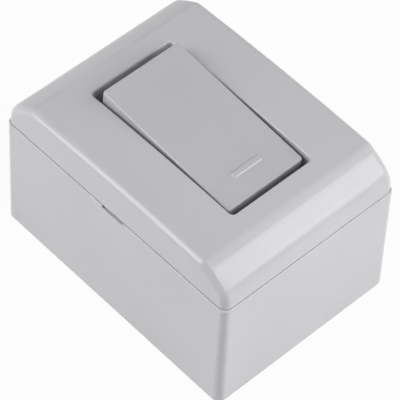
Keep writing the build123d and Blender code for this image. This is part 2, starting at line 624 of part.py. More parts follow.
def load_terminal():
    """The brass strip of the outgoing wire, which carries the fixed contact."""
    length = STRIP_END - LOAD_STRIP_START
    strip = slab(STRIP_WIDTH, length, STRIP_BOTTOM, STRIP_TOP, y=LOAD_STRIP_START + length / 2)
    strip -= post(RIVET_RADIUS + RIVET_CLEARANCE, STRIP_BOTTOM, STRIP_TOP, y=TIP_PLACE)
    return strip + thread_collar(1) - thread_hole(1)


def fixed_contact():
    """The silver rivet on the load strip."""
    tip = post(FIXED_TIP_RADIUS, STRIP_TOP, STRIP_TOP + FIXED_TIP_THICKNESS, y=TIP_PLACE)
    tip = fillet(tip.faces().sort_by(Axis.Z)[-1].edges(), TIP_EASE)
    return tip + post(RIVET_RADIUS, STRIP_BOTTOM, STRIP_TOP, y=TIP_PLACE)


def contact_blade():
    """The springy copper blade that rocks on its two axle stubs."""
    low = BLADE_TOP - BLADE_THICKNESS
    length = BLADE_LONG_ARM + BLADE_SHORT_ARM
    blade = slab(BLADE_WIDTH, length, low, BLADE_TOP,
                 y=(BLADE_LONG_ARM - BLADE_SHORT_ARM) / 2)
    blade = fillet(blade.edges().filter_by(Axis.Z), BLADE_CORNER)
    blade -= post(RIVET_RADIUS + RIVET_CLEARANCE, low, BLADE_TOP, y=TIP_PLACE)
    root = BLADE_WIDTH / 2 - AXLE_ROOT
    far = BLADE_WIDTH / 2 + NOTCH_EAR_GAP + NOTCH_EAR_THICKNESS + AXLE_OVERHANG
    for start, end in ((root, far), (-far, -root)):
        blade += cross_pin(AXLE_RADIUS, start, end, z=BLADE_AXIS)
    return turned(blade, -BLADE_SWING, BLADE_AXIS)


def moving_contact():
    """The silver rivet under the blade's long arm."""
    high = BLADE_TOP - BLADE_THICKNESS
    tip = post(TIP_RADIUS, high - TIP_THICKNESS, high, y=TIP_PLACE)
    tip = fillet(tip.faces().sort_by(Axis.Z)[0].edges(), TIP_EASE)
    tip += post(RIVET_RADIUS, high, BLADE_TOP, y=TIP_PLACE)
    return turned(tip, -BLADE_SWING, BLADE_AXIS)


def clamp_plate(side):
    """The square washer that presses the wire against a strip, with turned-up side lips."""
    plate = slab(CLAMP_WIDTH, CLAMP_LENGTH, HEAD_TOP, CLAMP_TOP, y=side * TERMINAL_PLACE)
    for edge in (-1, 1):
        plate += slab(CLAMP_LIP, CLAMP_LENGTH, HEAD_TOP, CLAMP_TOP + CLAMP_LIP,
                      x=edge * (CLAMP_WIDTH - CLAMP_LIP) / 2, y=side * TERMINAL_PLACE)
    return plate - post(TERMINAL_SCREW_RADIUS + SCREW_CLEARANCE, HEAD_TOP, CLAMP_TOP,
                        y=side * TERMINAL_PLACE)


def terminal_screw(side):
    """A slotted cheese-head screw, driven from behind the switch body."""
    head = post(TERMINAL_HEAD_RADIUS, HEAD_BOTTOM, HEAD_TOP)
    head = chamfer(head.faces().sort_by(Axis.Z)[0].edges(), TERMINAL_HEAD_EASE)
    head -= slab(2 * TERMINAL_HEAD_RADIUS, SCREW_SLOT_WIDTH, HEAD_BOTTOM,
                 HEAD_BOTTOM + SCREW_SLOT_DEPTH)
    tip = STRIP_TOP + THREAD_COLLAR_HEIGHT + SCREW_TIP
    shank = post(TERMINAL_SCREW_RADIUS, HEAD_TOP, tip)
    shank = chamfer(shank.faces().sort_by(Axis.Z)[-1].edges(), SCREW_TIP_POINT)
    return Pos(0, side * TERMINAL_PLACE) * (head + shank)


PARTS = {
    "base_box": base_box(),
    "front_cover": front_cover(),
    "rocker_cap": rocker_cap(),
    "rocker_carrier": rocker_carrier(),
    "spring_plunger": spring_plunger(),
    "contact_spring": contact_spring(),
    "pivot_frame": pivot_frame(),
    "yoke_plate": yoke_plate(),
    "yoke_screw_upper": yoke_screw(1),
    "yoke_screw_lower": yoke_screw(-1),
    "switch_body": switch_body(),
    "line_terminal": line_terminal(),
    "load_terminal": load_terminal(),
    "fixed_contact": fixed_contact(),
    "contact_blade": contact_blade(),
    "moving_contact": moving_contact(),
    "line_clamp_plate": clamp_plate(-1),
    "load_clamp_plate": clamp_plate(1),
    "line_terminal_screw": terminal_screw(-1),
    "load_terminal_screw": terminal_screw(1),
}

os.makedirs("parts", exist_ok=True)
for name, solid in PARTS.items():
    export_step(solid, f"parts/{name}.step")
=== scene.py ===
"""The look of a surface mounted light switch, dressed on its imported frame.

The case, its cover and the rocker keep the frame's own shapes and get moulded plastic. The slotted
screws and the contact spring are made by node trees. Lengths are in metres.
"""

import logging
import math
from dataclasses import dataclass, replace
from enum import Enum

import bpy
from mathutils import Matrix, Vector


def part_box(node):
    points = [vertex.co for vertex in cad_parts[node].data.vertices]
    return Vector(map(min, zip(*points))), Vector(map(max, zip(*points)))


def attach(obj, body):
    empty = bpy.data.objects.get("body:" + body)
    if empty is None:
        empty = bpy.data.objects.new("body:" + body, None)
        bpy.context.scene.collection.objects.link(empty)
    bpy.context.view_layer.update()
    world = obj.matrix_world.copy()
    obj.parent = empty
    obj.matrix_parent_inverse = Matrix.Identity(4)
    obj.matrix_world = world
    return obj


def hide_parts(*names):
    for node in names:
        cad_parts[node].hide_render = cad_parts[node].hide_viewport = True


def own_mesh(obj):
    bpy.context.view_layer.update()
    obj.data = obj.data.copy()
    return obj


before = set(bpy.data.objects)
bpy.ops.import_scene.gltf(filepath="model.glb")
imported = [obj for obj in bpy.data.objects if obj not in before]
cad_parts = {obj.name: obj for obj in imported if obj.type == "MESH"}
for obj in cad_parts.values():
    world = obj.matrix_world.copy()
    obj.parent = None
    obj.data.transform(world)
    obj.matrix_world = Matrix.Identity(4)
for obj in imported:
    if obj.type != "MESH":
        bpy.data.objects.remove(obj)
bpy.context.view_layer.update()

LOG = logging.getLogger("light_switch")
MM = 0.001
NOISE_LOW = 0.3
NOISE_HIGH = 0.7

Colour = tuple[float, float, float]
Point = tuple[float, float, float]


class Slot(Enum):
    """The record's material slots."""

    CASE = "case_plastic"
    ROCKER = "rocker_plastic"
    MECHANISM = "mechanism_plastic"
    PLUNGER = "plunger_plastic"
    SPRING = "spring_steel"
    ZINC = "zinc_steel"
    BRASS = "brass"
    COPPER = "copper"
    SILVER = "silver"


class Grain(Enum):
    """Which way the marks of rolling or drawing run on a metal piece."""

    ALONG_Y = (1.0, 0.06, 1.0)
    NONE = (1.0, 1.0, 1.0)


class NodeGraph:
    """A node tree with short calls for adding nodes and joining them."""

    def __init__(self, tree: bpy.types.NodeTree) -> None:
        """Keeps the tree.

        Args:
            tree: The node tree to add to.
        """
        self.tree = tree

    def add(self, kind: str, settings: dict | None = None, **inputs: object) -> bpy.types.Node:
        """Adds a node, sets its properties and fills its inputs.

        Args:
            kind: The node's type name.
            settings: Properties of the node itself.
            **inputs: A value or an output socket for each input, by its name in lower case.

        Returns:
            The new node.
        """
        node = self.tree.nodes.new(kind)
        for name, value in (settings or {}).items():
            setattr(node, name, value)
        for name, value in inputs.items():
            self.feed(node, name, value)
        return node

    def feed(self, node: bpy.types.Node, name: str, value: object) -> None:
        """Sets or links one input of a node.

        Args:
            node: The node whose input is set.
            name: The input's name in lower case with underscores, or its number after an "i".
            value: A value, or an output socket to link.
        """
        if name[0] == "i" and name[1:].isdigit():
            socket = node.inputs[int(name[1:])]
        else:
            wanted = name.replace("_", " ")
            socket = next(s for s in node.inputs if s.enabled and s.name.lower() == wanted)
        if isinstance(value, bpy.types.NodeSocket):
            self.tree.links.new(value, socket)
        else:
            socket.default_value = value

    def math(self, operation: str, first: object, second: object = 0.0) -> bpy.types.NodeSocket:
        """Adds a Math node.

        Args:
            operation: The Math node's operation.
            first: Its first value or socket.
            second: Its second value or socket.

        Returns:
            The node's output.
        """
        return self.add("ShaderNodeMath", {"operation": operation}, i0=first, i1=second).outputs[0]

    def remap(self, value: object, low: float, high: float) -> bpy.types.NodeSocket:
        """Maps a value from the usual reach of noise to another range.

        Args:
            value: The socket to map.
            low: The result at the low end of that reach.
            high: The result at its high end.

        Returns:
            The mapped output.
        """
        node = self.add("ShaderNodeMapRange", value=value, from_min=NOISE_LOW,
                        from_max=NOISE_HIGH, to_min=low, to_max=high)
        return node.outputs[0]


def blank_material(name: str) -> tuple[bpy.types.Material, NodeGraph]:
    """Makes a material with no nodes in it.

    Args:
        name: The material's name.

    Returns:
        The material and its node graph.
    """
    made = bpy.data.materials.new(name)
    made.use_nodes = True
    made.node_tree.nodes.clear()
    return made, NodeGraph(made.node_tree)


@dataclass(frozen=True)
class Finish:
    """A surface finish with fine relief and slight changes of colour and gloss."""

    slot: Slot
    colour: Colour
    roughness: float
    roughness_spread: float = 0.03
    shade_spread: float = 0.02
    shade_scale: float = 45.0
    shade_detail: float = 2.0
    fine_divisor: float = 3.0
    relief: float = 2e-6
    relief_scale: float = 900.0
    relief_detail: float = 3.0
    relief_roughness: float = 0.6
    grain: Grain = Grain.NONE
    ior: float = 1.5

    def base(self, graph: NodeGraph) -> bpy.types.Node:
        """Adds the shader with this finish's own constants.

        Args:
            graph: The material's nodes.

        Returns:
            The shader node.
        """
        return graph.add("ShaderNodeBsdfPrincipled", ior=self.ior)

    def painted_edge_highlight(self, graph: NodeGraph) -> bpy.types.NodeSocket | float:
        """How much lighter the colour is painted along the edges, as a painted highlight; a plain
        finish paints none.

        Args:
            graph: The material's nodes; not used here.

        Returns:
            The share of painted highlight to add to the colour's value.
        """
        return 0.0

    def material(self) -> bpy.types.Material:
        """Builds the material.

        Returns:
            The new material.
        """
        made, graph = blank_material(f"{self.slot.value}_finish")
        place = graph.add("ShaderNodeTexCoord").outputs["Object"]
        stretched = graph.add("ShaderNodeMapping", vector=place, scale=self.grain.value).outputs[0]
        broad = graph.add("ShaderNodeTexNoise", vector=place, scale=self.shade_scale,
                          detail=self.shade_detail).outputs[0]
        fine = graph.add("ShaderNodeTexNoise", vector=stretched, scale=self.relief_scale,
                         detail=self.relief_detail, roughness=self.relief_roughness).outputs[0]
        fine_spread = self.shade_spread / self.fine_divisor
        shade = graph.math("ADD", graph.remap(broad, -self.shade_spread, self.shade_spread),
                           graph.remap(fine, -fine_spread, fine_spread))
        # painted highlight: the colour is made lighter along the edges here
        shade = graph.math("ADD", shade, self.painted_edge_highlight(graph))
        tone = graph.add("ShaderNodeHueSaturation", value=graph.math("ADD", shade, 1.0),
                         color=(*self.colour, 1.0)).outputs[0]
        gloss = graph.math("ADD", self.roughness,
                           graph.remap(fine, -self.roughness_spread, self.roughness_spread))
        bump = graph.add("ShaderNodeBump", strength=1.0, distance=self.relief,
                         height=fine).outputs[0]
        shader = self.base(graph)
        graph.feed(shader, "base_color", tone)
        graph.feed(shader, "roughness", gloss)
        graph.feed(shader, "normal", bump)
        graph.add("ShaderNodeOutputMaterial", surface=shader.outputs[0])
        return made


@dataclass(frozen=True)
class MouldedPlastic(Finish):
    """Injection moulded plastic, from polished to matt, with a painted highlight that lightens its
    colour along its edges.
    """

    # the edge sizes below set the painted edge highlight: its reach, its strength and the turn of
    # the normal where it starts and is full
    edge_width: float = 0.35 * MM
    edge_highlight_gain: float = 0.16
    edge_start: float = 0.98
    edge_full: float = 0.75
    edge_samples: int = 6

    def painted_edge_highlight(self, graph: NodeGraph) -> bpy.types.NodeSocket:
        """Paints a highlight by lightening the colour along edges, convex and hollow alike, found
        by the turn of the normal within a short reach.

        Args:
            graph: The material's nodes.

        Returns:
            The share of painted highlight to add to the colour's value.
        """
        # painted highlight: the colour is lightened where the bevelled normal turns away from the
        # true one
        eased = graph.add("ShaderNodeBevel", {"samples": self.edge_samples},
                          radius=self.edge_width).outputs[0]
        sharp = graph.add("ShaderNodeNewGeometry").outputs["Normal"]
        same = graph.add("ShaderNodeVectorMath", {"operation": "DOT_PRODUCT"}, i0=eased,
                         i1=sharp).outputs["Value"]
        return graph.add("ShaderNodeMapRange", value=same, from_min=self.edge_start,
                         from_max=self.edge_full, to_min=0.0, to_max=self.edge_highlight_gain).outputs[0]


@dataclass(frozen=True)
class BareMetal(Finish):
    """Stamped, rolled or plated metal."""

    def base(self, graph: NodeGraph) -> bpy.types.Node:
        """Adds a metallic shader.

        Args:
            graph: The material's nodes.

        Returns:
            The shader node.
        """
        return graph.add("ShaderNodeBsdfPrincipled", metallic=1.0)


FINISHES: tuple[Finish, ...] = (
    MouldedPlastic(Slot.CASE, (0.497, 0.494, 0.514), 0.10, relief=0.5e-6),
    MouldedPlastic(Slot.ROCKER, (0.458, 0.455, 0.475), 0.10, relief=0.5e-6),
    MouldedPlastic(Slot.MECHANISM, (0.80, 0.80, 0.77), 0.42, relief=5e-6),
    MouldedPlastic(Slot.PLUNGER, (0.08, 0.08, 0.09), 0.35, relief=4e-6),
    BareMetal(Slot.SPRING, (0.45, 0.45, 0.46), 0.28, relief=2e-6),
    BareMetal(Slot.ZINC, (0.60, 0.61, 0.62), 0.34, relief=3e-6, grain=Grain.ALONG_Y),
    BareMetal(Slot.BRASS, (0.72, 0.53, 0.22), 0.26, relief=2e-6, grain=Grain.ALONG_Y),
    BareMetal(Slot.COPPER, (0.68, 0.38, 0.22), 0.27, relief=2e-6, grain=Grain.ALONG_Y),
    BareMetal(Slot.SILVER, (0.82, 0.82, 0.80), 0.22, relief=2e-6),
)


class Wardrobe:
    """The materials of all finishes, and the dressing of pieces with them."""

    def __init__(self, finishes: tuple[Finish, ...]) -> None:
        """Builds every finish once.

        Args:
            finishes: One finish for each slot.
        """
        self.materials = {finish.slot: finish.material() for finish in finishes}

    def dress(self, piece: bpy.types.Object, slot: Slot) -> bpy.types.Object:
        """Gives a piece its finish.

        Args:
            piece: A mesh object.
            slot: The slot whose finish it gets.

        Returns:
            The same piece.
        """
        if not piece.material_slots:
            piece.data.materials.append(None)
        for holder in piece.material_slots:
            holder.material = self.materials[slot]
        LOG.info("%s dressed in %s", piece.name, slot.value)
        return piece


class PieceTree:
    """A geometry node tree with named inputs, whose result is turned into a plain mesh."""

    def __init__(self, name: str, sizes: dict[str, float]) -> None:
        """Starts the tree.

        Args:
            name: The tree's name.
            sizes: Its inputs and their values, in metres or as plain numbers.
        """
        self.sizes = sizes
        self.tree = bpy.data.node_groups.new(name, "GeometryNodeTree")
        self.graph = NodeGraph(self.tree)
        for size in sizes:
            self.tree.interface.new_socket(size, in_out="INPUT", socket_type="NodeSocketFloat")
        self.tree.interface.new_socket("finish", in_out="INPUT", socket_type="NodeSocketMaterial")
        self.tree.interface.new_socket("piece", in_out="OUTPUT", socket_type="NodeSocketGeometry")
        self.inputs = self.graph.add("NodeGroupInput").outputs

    def size(self, name: str) -> bpy.types.NodeSocket:
        """One of the tree's inputs.

        Args:
            name: The input's name.

        Returns:
            The socket that gives its value.
        """
        return self.inputs[name]

    def xyz(self, x: object = 0.0, y: object = 0.0, z: object = 0.0) -> bpy.types.NodeSocket:
        """Joins three values into a vector.

        Args:
            x: First value or socket.
            y: Second value or socket.
            z: Third value or socket.

        Returns:
            The vector's socket.
        """
        return self.graph.add("ShaderNodeCombineXYZ", x=x, y=y, z=z).outputs[0]

    def move(self, shape: bpy.types.NodeSocket, **change: object) -> bpy.types.NodeSocket:
        """Moves, turns or scales a shape.

        Args:
            shape: The shape's socket.
            **change: Values of the Transform node's inputs.

        Returns:
            The moved shape.
        """
        return self.graph.add("GeometryNodeTransform", geometry=shape, **change).outputs[0]

    def height(self) -> bpy.types.NodeSocket:
        """Reads the height of each point.

        Returns:
            The height's socket.
        """
        place = self.graph.add("GeometryNodeInputPosition").outputs[0]
        return self.graph.add("ShaderNodeSeparateXYZ", vector=place).outputs[2]

    def taper(self, shape: bpy.types.NodeSocket, share: object) -> bpy.types.NodeSocket:
        """Narrows a shape across its upright axis.

        Args:
            shape: The shape's socket.
            share: The share of the width that stays, which may change with height.

        Returns:
            The narrowed shape.
        """
        place = self.graph.add("GeometryNodeInputPosition").outputs[0]
        scaled = self.graph.add("ShaderNodeVectorMath", {"operation": "MULTIPLY"}, i0=place,
                                i1=self.xyz(share, share, 1.0)).outputs[0]
        return self.graph.add("GeometryNodeSetPosition", geometry=shape,
                              position=scaled).outputs[0]

    def close(self, shapes: list[bpy.types.NodeSocket], crease: float) -> None:
        """Ends the tree: joins the shapes, shades them, makes them real and gives the finish.

        Args:
            shapes: The shapes' sockets.
            crease: The angle in radians from which an edge stays sharp.
        """
        joined = self.graph.add("GeometryNodeJoinGeometry")
        for shape in shapes:
            self.tree.links.new(shape, joined.inputs[0])
        smooth = self.graph.add("GeometryNodeSetShadeSmooth", geometry=joined.outputs[0]).outputs[0]
        angle = self.graph.add("GeometryNodeInputMeshEdgeAngle").outputs[0]
        sharp = self.graph.math("GREATER_THAN", angle, crease)
        creased = self.graph.add("GeometryNodeSetShadeSmooth", {"domain": "EDGE"}, geometry=smooth,
                                 selection=sharp, shade_smooth=False).outputs[0]
        real = self.graph.add("GeometryNodeRealizeInstances", geometry=creased).outputs[0]
        dressed = self.graph.add("GeometryNodeSetMaterial", geometry=real,
                                 material=self.inputs["finish"]).outputs[0]
        self.graph.add("NodeGroupOutput", piece=dressed)

    def make(self, name: str, finish: bpy.types.Material, place: Matrix) -> bpy.types.Object:
        """Evaluates the tree and keeps its result as a plain mesh.

        Args:
            name: The new piece's name.
            finish: The material for the tree's last node.
            place: Where the piece goes, baked into its mesh.

        Returns:
            The new object, at the origin.
        """
        holder = bpy.data.objects.new(name + "_holder", bpy.data.meshes.new(name + "_holder"))
        bpy.context.scene.collection.objects.link(holder)
        modifier = holder.modifiers.new("tree", "NODES")
        modifier.node_group = self.tree
        values = {**self.sizes, "finish": finish}
        for item in self.tree.interface.items_tree:
            if item.in_out == "INPUT":
                modifier[item.identifier] = values[item.name]
        evaluated = holder.evaluated_get(bpy.context.evaluated_depsgraph_get())
        mesh = bpy.data.meshes.new_from_object(evaluated)
        holder.modifiers.remove(modifier)
        bpy.data.objects.remove(holder)
        mesh.name = name
        mesh.materials.clear()
        mesh.materials.append(finish)
        mesh.polygons.foreach_set("material_index", [0] * len(mesh.polygons))
        mesh.transform(place)
        piece = bpy.data.objects.new(name, mesh)
        bpy.context.scene.collection.objects.link(piece)
        return piece


@dataclass(frozen=True)
class SlottedScrew:
    """A slotted screw with a wound thread, head up, its head's seat at height 0."""

    head_radius: float
    head_height: float
    head_round: float
    shank_length: float = 8.0 * MM
    shank_radius: float = 1.45 * MM
    point: float = 0.7 * MM
    pitch: float = 0.8 * MM
    thread_depth: float = 0.28 * MM
    bare_length: float = 1.1 * MM
    slot_width: float = 0.8 * MM
    slot_depth: float = 0.9 * MM
    tip_narrowing: float = 0.35
    ridge_share: float = 0.42
    fade_rate: float = 12.0
    cutter_reach: float = 3.0
    head_sides: int = 48
    head_rings: int = 10
    shank_sides: int = 32
    shank_rings: int = 40
    thread_steps: int = 28
    ridge_corners: int = 4
    crease: float = math.radians(32)

    def tree(self) -> PieceTree:
        """Builds the screw's node tree.

        Returns:
            The tree.
        """
        made = PieceTree("slotted_screw", {
            "head radius": self.head_radius, "head height": self.head_height,
            "head round": self.head_round, "shank length": self.shank_length,
            "shank radius": self.shank_radius, "point": self.point, "pitch": self.pitch,
            "thread depth": self.thread_depth, "bare length": self.bare_length,
            "slot width": self.slot_width, "slot depth": self.slot_depth})
        made.close([self.head(made), self.core(made), self.thread(made)], self.crease)
        return made

    def head(self, made: PieceTree) -> bpy.types.NodeSocket:
        """The head, rounded at its rim and cut by the driver's slot.

        Args:
            made: The tree to add to.

        Returns:
            The head's socket.
        """
        graph, size = made.graph, made.size
        disc = graph.add("GeometryNodeMeshCylinder", {"fill_type": "TRIANGLE_FAN"},
                         vertices=self.head_sides, side_segments=self.head_rings,
                         radius=size("head radius"), depth=size("head height"))
        half = graph.math("DIVIDE", size("head height"), 2.0)
        raised = made.move(disc.outputs[0], translation=made.xyz(z=half))
        start = graph.math("SUBTRACT", size("head height"), size("head round"))
        share = graph.add("ShaderNodeMapRange", value=made.height(), from_min=start,
                          from_max=size("head height")).outputs[0]
        fall = graph.math("SUBTRACT", 1.0, graph.math("SQRT", graph.math(
            "SUBTRACT", 1.0, graph.math("MULTIPLY", share, share))))
        ratio = graph.math("DIVIDE", size("head round"), size("head radius"))
        narrow = graph.math("SUBTRACT", 1.0, graph.math("MULTIPLY", fall, ratio))
        dome = made.taper(raised, narrow)
        length = graph.math("MULTIPLY", size("head radius"), self.cutter_reach)
        depth = graph.math("MULTIPLY", size("slot depth"), 2.0)
        cutter = graph.add("GeometryNodeMeshCube", size=made.xyz(length, size("slot width"), depth))
        placed = made.move(cutter.outputs[0], translation=made.xyz(z=size("head height")))
        cut = graph.add("GeometryNodeMeshBoolean", {"operation": "DIFFERENCE", "solver": "EXACT"})
        made.tree.links.new(dome, cut.inputs[0])
        made.tree.links.new(placed, cut.inputs[1])
        return cut.outputs[0]

    def core(self, made: PieceTree) -> bpy.types.NodeSocket:
        """The shank's core, full under the head and pointed at its end.

        Args:
            made: The tree to add to.

        Returns:
            The core's socket.
        """
        graph, size = made.graph, made.size
        rod = graph.add("GeometryNodeMeshCylinder", {"fill_type": "TRIANGLE_FAN"},
                        vertices=self.shank_sides, side_segments=self.shank_rings,
                        radius=size("shank radius"), depth=size("shank length"))
        half = graph.math("DIVIDE", size("shank length"), -2.0)
        lowered = made.move(rod.outputs[0], translation=made.xyz(z=half))
        depth = graph.math("MULTIPLY", made.height(), -1.0)
        slim = graph.math("DIVIDE", size("thread depth"), size("shank radius"))
        neck = graph.add("ShaderNodeMapRange", value=depth, from_min=size("bare length"),
                         from_max=graph.math("ADD", size("bare length"), size("thread depth")),
                         to_min=0.0, to_max=slim).outputs[0]
        start = graph.math("SUBTRACT", size("shank length"), size("point"))
        tip = graph.add("ShaderNodeMapRange", value=depth, from_min=start,
                        from_max=size("shank length"), to_min=0.0,
                        to_max=self.tip_narrowing).outputs[0]
        narrow = graph.math("SUBTRACT", graph.math("SUBTRACT", 1.0, neck), tip)
        return made.taper(lowered, narrow)

    def thread(self, made: PieceTree) -> bpy.types.NodeSocket:
        """The ridge of the thread, wound round the core and fading at both ends.

        Args:
            made: The tree to add to.

        Returns:
            The thread's socket.
        """
        graph, size = made.graph, made.size
        ends = graph.math("ADD", size("bare length"), size("point"))
        run = graph.math("SUBTRACT", size("shank length"), ends)
        core = graph.math("SUBTRACT", size("shank radius"), size("thread depth"))
        wound = graph.add("GeometryNodeCurveSpiral", resolution=self.thread_steps,
                          rotations=graph.math("DIVIDE", run, size("pitch")), start_radius=core,
                          end_radius=core, height=run).outputs[0]
        upright = graph.add("GeometryNodeSetCurveNormal", {"mode": "Z_UP"}, curve=wound).outputs[0]
        low = graph.math("SUBTRACT", size("point"), size("shank length"))
        placed = made.move(upright, translation=made.xyz(z=low))
        edge = graph.add("GeometryNodeCurvePrimitiveCircle", resolution=self.ridge_corners,
                         radius=size("thread depth")).outputs[0]
        stretch = graph.math("DIVIDE", graph.math("MULTIPLY", size("pitch"), self.ridge_share),
                             size("thread depth"))
        ridge = made.move(edge, scale=made.xyz(1.0, stretch, 1.0))
        along = graph.add("GeometryNodeSplineParameter").outputs[0]
        fade = graph.math("MULTIPLY", graph.math("SUBTRACT", 0.5, graph.math(
            "ABSOLUTE", graph.math("SUBTRACT", along, 0.5))), self.fade_rate)
        shown = graph.math("MINIMUM", fade, 1.0)
        return graph.add("GeometryNodeCurveToMesh", curve=placed, profile_curve=ridge,
                         scale=shown, fill_caps=True).outputs[0]


@dataclass(frozen=True)
class CoilSpring:
    """A compression spring with one closed turn at each end, standing on height 0."""

    length: float = 6.44 * MM
    coil_radius: float = 1.51 * MM
    wire_radius: float = 0.22 * MM
    turns: float = 8.0
    steps: int = 30
    wire_sides: int = 10
    crease: float = math.radians(50)

    def tree(self) -> PieceTree:
        """Builds the spring's node tree.

        Returns:
            The tree.
        """
        made = PieceTree("closed_coil", {"length": self.length, "coil radius": self.coil_radius,
                                         "wire radius": self.wire_radius, "turns": self.turns})
        graph, size = made.graph, made.size
        flat = graph.add("GeometryNodeCurveSpiral", resolution=self.steps,
                         rotations=size("turns"), start_radius=size("coil radius"),
                         end_radius=size("coil radius"), height=0.0).outputs[0]
        turn = graph.math("MULTIPLY", graph.add("GeometryNodeSplineParameter").outputs[0],
                          size("turns"))
        wire = graph.math("MULTIPLY", size("wire radius"), 2.0)
        closed = graph.math("MINIMUM", turn, 1.0)
        last = graph.math("MAXIMUM", graph.math("SUBTRACT", graph.math(
            "ADD", turn, 1.0), size("turns")), 0.0)
        open_turns = graph.math("SUBTRACT", size("turns"), 2.0)
        middle = graph.math("SUBTRACT", graph.math("SUBTRACT", turn, closed), last)
        rise = graph.math("SUBTRACT", size("length"), graph.math("MULTIPLY", wire, 3.0))
        height = graph.math("ADD", graph.math("MULTIPLY", graph.math("ADD", closed, last), wire),
                            graph.math("MULTIPLY", graph.math("DIVIDE", middle, open_turns), rise))
        lift = made.xyz(z=graph.math("ADD", height, size("wire radius")))
        path = graph.add("GeometryNodeSetPosition", geometry=flat, offset=lift).outputs[0]
        upright = graph.add("GeometryNodeSetCurveNormal", {"mode": "Z_UP"}, curve=path).outputs[0]
        section = graph.add("GeometryNodeCurvePrimitiveCircle", resolution=self.wire_sides,
                            radius=size("wire radius")).outputs[0]
        coil = graph.add("GeometryNodeCurveToMesh", curve=upright, profile_curve=section,
                         fill_caps=True).outputs[0]
        made.close([coil], self.crease)
        return made


class Assembly:
    """A sub-assembly: nodes that keep the frame's shapes, and pieces of its own."""

    nodes: dict[str, Slot] = {}

    def __init__(self, wardrobe: Wardrobe) -> None:
        """Keeps the finishes.

        Args:
            wardrobe: The finishes to dress with.
        """
        self.wardrobe = wardrobe

    def dress_nodes(self) -> None:
        """Dresses the frame's own shapes."""
        for name, slot in self.nodes.items():
            self.wardrobe.dress(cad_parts[name], slot)

    def fit(self, piece: bpy.types.Object, node: str, body: str, slot: Slot) -> bpy.types.Object:
        """Puts a piece in a node's stead.

        Args:
            piece: The new piece, in place.
            node: The node that it stands for.
            body: The body that it moves with.
            slot: The slot of its finish; not used.

        Returns:
            The same piece.
        """
        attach(piece, body)
        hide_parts(node)
        LOG.info("%s stands for %s, %d faces", piece.name, node, len(piece.data.polygons))
        return piece

    def screw(self, kind: SlottedScrew, node: str, head_up: bool) -> bpy.types.Object:
        """Puts a slotted screw where the frame has a plain one.

        Args:
            kind: The screw's sizes.
            node: The node that it stands for.
            head_up: Whether its head is above its shank.

        Returns:
            The new screw.
        """
        low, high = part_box(node)
        kind = replace(kind, shank_length=high.z - low.z - kind.head_height)
        seat = high.z - kind.head_height if head_up else low.z + kind.head_height
        place = Matrix.Translation(((low.x + high.x) / 2, (low.y + high.y) / 2, seat))
        if not head_up:
            place = place @ Matrix.Rotation(math.pi, 4, "X")
        made = kind.tree().make(node + "_slotted", self.wardrobe.materials[Slot.ZINC], place)
        return self.fit(made, node, "box", Slot.ZINC)


class Case(Assembly):
    """The deep box and its cover."""

    nodes = {"base_box": Slot.CASE, "front_cover": Slot.CASE}

    def build(self) -> None:
        """Dresses the box and the cover."""
        self.dress_nodes()


class Rocker(Assembly):
    """The rocker with its carrier, the plunger and the contact spring."""

    nodes = {"rocker_cap": Slot.ROCKER, "rocker_carrier": Slot.MECHANISM,
             "spring_plunger": Slot.PLUNGER}
    spring = CoilSpring()
    spring_foot: float = 34.53 * MM
    pivot_height: float = 39.6 * MM
    tilt: float = math.radians(5.15)
    travel: float = 1.0 * MM

    def build(self) -> None:
        """Dresses the rocker's nodes and winds the spring."""
        self.dress_nodes()
        self.wind_spring()

    def wind_spring(self) -> bpy.types.Object:
        """Makes the spring in the carrier's stem, moving with the rocker.

        Returns:
            The spring.
        """
        turned = (Matrix.Translation((0, 0, self.pivot_height)) @ Matrix.Rotation(self.tilt, 4, "X")
                  @ Matrix.Translation((0, 0, self.spring_foot - self.pivot_height)))
        made = self.spring.tree().make("contact_coil", self.wardrobe.materials[Slot.SPRING], turned)
        self.fit(made, "contact_spring", "rocker", Slot.SPRING)
        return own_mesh(made)


class Yoke(Assembly):
    """The steel yoke with the pivot frame and its two screws."""

    nodes = {"yoke_plate": Slot.ZINC, "pivot_frame": Slot.MECHANISM}
    kind = SlottedScrew(2.8 * MM, 1.8 * MM, 0.9 * MM, pitch=1.1 * MM, thread_depth=0.34 * MM,
                        bare_length=1.4 * MM)

    def build(self) -> None:
        """Dresses the yoke's nodes and makes its screws."""
        self.dress_nodes()
        for node in ("yoke_screw_upper", "yoke_screw_lower"):
            self.screw(self.kind, node, head_up=True)


class Contacts(Assembly):
    """The switch body with its terminals, contacts, clamps and terminal screws."""

    nodes = {"switch_body": Slot.MECHANISM, "line_terminal": Slot.BRASS,
             "load_terminal": Slot.BRASS, "contact_blade": Slot.COPPER,
             "fixed_contact": Slot.SILVER, "moving_contact": Slot.SILVER,
             "line_clamp_plate": Slot.ZINC, "load_clamp_plate": Slot.ZINC}
    kind = SlottedScrew(2.9 * MM, 2.0 * MM, 0.3 * MM, point=0.5 * MM, pitch=0.6 * MM,
                        thread_depth=0.24 * MM, bare_length=0.5 * MM)

    def build(self) -> None:
        """Dresses the body's nodes and makes the terminal screws."""
        self.dress_nodes()
        for node in ("line_terminal_screw", "load_terminal_screw"):
            self.screw(self.kind, node, head_up=False)


class Reach(Enum):
    """What a light shows in: the shading, the gloss or both."""

    SHADE = (True, False)
    GLOSS = (False, True)
    BOTH = (True, True)


